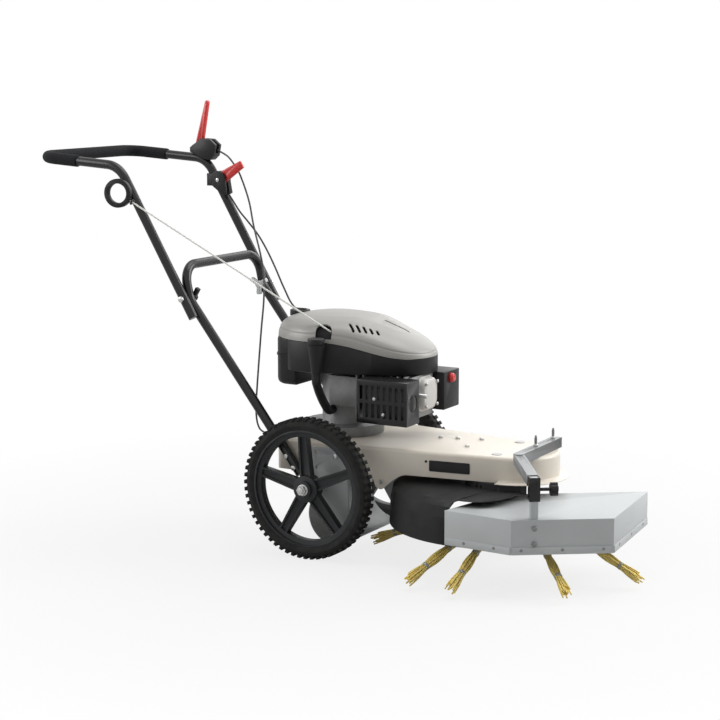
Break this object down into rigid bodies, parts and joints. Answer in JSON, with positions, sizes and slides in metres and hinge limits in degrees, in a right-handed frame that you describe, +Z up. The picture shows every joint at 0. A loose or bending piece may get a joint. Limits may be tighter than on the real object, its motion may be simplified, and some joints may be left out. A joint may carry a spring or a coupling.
{
  "type": "power brush sweeper",
  "caption": "Walk-behind petrol sweeper: wheeled deck with engine, folding handle, and a front rotary brush of wire bundles under a height-adjustable metal guard.",
  "frame": {"origin": "on the ground, under the middle of the wheel axle, which is also the middle of the machine's length and width", "axes": "+X forward to the brush, +Y to the machine's left, +Z up"},
  "size_m": [1.6828, 0.7526, 1.1157],
  "materials": {
    "cream_paint": "satin",
    "black_paint": "gloss",
    "galvanised": "matte",
    "steel": "satin",
    "cast_alloy": "cast",
    "cast_iron": "matte",
    "cowl_silver": "satin",
    "black_plastic": "satin",
    "rim_plastic": "satin",
    "tyre_rubber": "matte",
    "foam": "matte",
    "red_plastic": "gloss",
    "brush_wire": "satin",
    "rope": "woven",
    "cable_sheath": "satin",
    "grey_plastic": "satin",
    "valve_paint": "satin"
  },
  "bodies": {
    "chassis": {"deck": "cream_paint", "deck_bolts": "steel", "axle_plate_right": "galvanised", "axle_plate_left": "galvanised", "axle": "steel", "axle_nuts": "steel", "rear_deflector": "galvanised", "skirt": "black_plastic", "spindle_housing": "cast_alloy", "spindle_bearings": "steel", "belt": "cable_sheath", "guard_arm": "galvanised", "guard_sleeve": "black_paint", "lower_handle": "black_paint", "handle_bolts": "steel", "clutch_cable": "cable_sheath", "throttle_cable": "cable_sheath", "starter_rope": "rope", "engine_block": "cast_alloy", "valve_cover": "valve_paint", "spark_plug": "steel", "muffler": "cast_iron", "muffler_guard": "black_paint", "air_box": "black_plastic", "carburettor": "cast_alloy", "fuel_tank": "black_plastic", "engine_shroud": "black_plastic", "engine_cowl": "cowl_silver", "oil_tube": "black_plastic"},
    "wheel_right": {"rim_right": "rim_plastic", "tyre_right": "tyre_rubber"},
    "wheel_left": {"rim_left": "rim_plastic", "tyre_left": "tyre_rubber"},
    "crank": {"crankshaft": "steel", "flywheel": "cast_iron", "drive_pulley": "cast_iron"},
    "brush": {"spindle": "steel", "brush_pulley": "cast_iron", "brush_disc": "cast_iron", "wire_bundles": "brush_wire"},
    "idler": {"idler_arm": "steel"},
    "idler_wheel": {"idler_pulley": "black_plastic"},
    "guard": {"guard_hood": "galvanised", "guard_rivets": "steel", "guard_post": "galvanised"},
    "height_knob": {"height_knob": "black_plastic"},
    "upper": {"upper_handle": "black_paint", "foam_grip": "foam", "lever_mount": "black_plastic", "throttle_housing": "black_plastic", "rope_guide": "black_paint", "rope_lead": "rope"},
    "clutch_lever": {"clutch_lever": "red_plastic"},
    "throttle_lever": {"throttle_lever": "red_plastic"},
    "wing_right": {"wing_knob_right": "black_plastic"},
    "wing_left": {"wing_knob_left": "grey_plastic"},
    "starter_grip": {"starter_grip": "black_plastic"},
    "fuel_cap": {"fuel_cap": "black_plastic"},
    "dipstick": {"dipstick": "black_plastic"},
    "primer": {"primer_bulb": "red_plastic"}
  },
  "joints": [
    {"name": "wheel_right_spin", "type": "hinge", "parent": "chassis", "child": "wheel_right", "pos_m": [0, -0.214, 0.1775], "axis": [0, 1, 0], "continuous": true},
    {"name": "wheel_left_spin", "type": "hinge", "parent": "chassis", "child": "wheel_left", "pos_m": [0, 0.214, 0.1775], "axis": [0, 1, 0], "continuous": true},
    {"name": "brush_spin", "type": "hinge", "parent": "chassis", "child": "brush", "pos_m": [0.468, 0, 0.2], "axis": [0, 0, 1], "continuous": true},
    {"name": "crank_spin", "type": "hinge", "parent": "chassis", "child": "crank", "pos_m": [-0.02, 0, 0.3], "axis": [0, 0, 1], "continuous": true},
    {"name": "idler_swing", "type": "hinge", "parent": "chassis", "child": "idler", "pos_m": [0.29642, 0.08684, 0.255], "axis": [0, 0, 1], "range_deg": [0, 6]},
    {"name": "idler_wheel_spin", "type": "hinge", "parent": "idler", "child": "idler_wheel", "pos_m": [0.20465, 0.09326, 0.243], "axis": [0, 0, 1], "continuous": true},
    {"name": "guard_height", "type": "slide", "parent": "chassis", "child": "guard", "axis": [0, 0, 1], "range_m": [-0.025, 0.012]},
    {"name": "height_knob_turn", "type": "hinge", "parent": "chassis", "child": "height_knob", "pos_m": [0.63041, -0.25948, 0.25632], "axis": [0.8261, 0.5635, 0], "range_deg": [0, 180]},
    {"name": "handle_fold", "type": "hinge", "parent": "chassis", "child": "upper", "pos_m": [-0.374, 0, 0.625], "axis": [0, 1, 0], "range_deg": [0, 95], "deforming": ["clutch_cable", "throttle_cable", "starter_rope"]},
    {"name": "clutch_pull", "type": "hinge", "parent": "upper", "child": "clutch_lever", "pos_m": [-0.594, 0.2, 0.985], "axis": [0, -1, 0], "range_deg": [0, 80]},
    {"name": "throttle_turn", "type": "hinge", "parent": "upper", "child": "throttle_lever", "pos_m": [-0.50668, 0.168, 0.90256], "axis": [0, 1, 0], "range_deg": [-35, 20]},
    {"name": "wing_right_turn", "type": "hinge", "parent": "chassis", "child": "wing_right", "pos_m": [-0.374, -0.156, 0.625], "axis": [0, 1, 0], "range_deg": [0, 180]},
    {"name": "wing_left_turn", "type": "hinge", "parent": "chassis", "child": "wing_left", "pos_m": [-0.374, 0.156, 0.625], "axis": [0, 1, 0], "range_deg": [0, 180]},
    {"name": "starter_pull", "type": "slide", "parent": "upper", "child": "starter_grip", "axis": [-0.8533, -0.1575, 0.4971], "range_m": [0, 0.45], "stiffness_N_per_m": 20, "springref_m": -0.1, "deforming": ["rope_lead"]},
    {"name": "fuel_cap_turn", "type": "hinge", "parent": "chassis", "child": "fuel_cap", "pos_m": [-0.15, 0, 0.575], "axis": [0, 0, 1], "range_deg": [0, 90]},
    {"name": "dipstick_pull", "type": "slide", "parent": "chassis", "child": "dipstick", "axis": [0, 0, 1], "range_m": [0, 0.1]},
    {"name": "primer_press", "type": "slide", "parent": "chassis", "child": "primer", "axis": [-1, 0, 0], "range_m": [0, 0.005], "stiffness_N_per_m": 400}
  ],
  "couplings": [
    {"joint": "crank_spin", "follows": "brush_spin", "ratio": 2.9031},
    {"joint": "idler_swing", "follows": "clutch_pull", "ratio": 0.075}
  ]
}
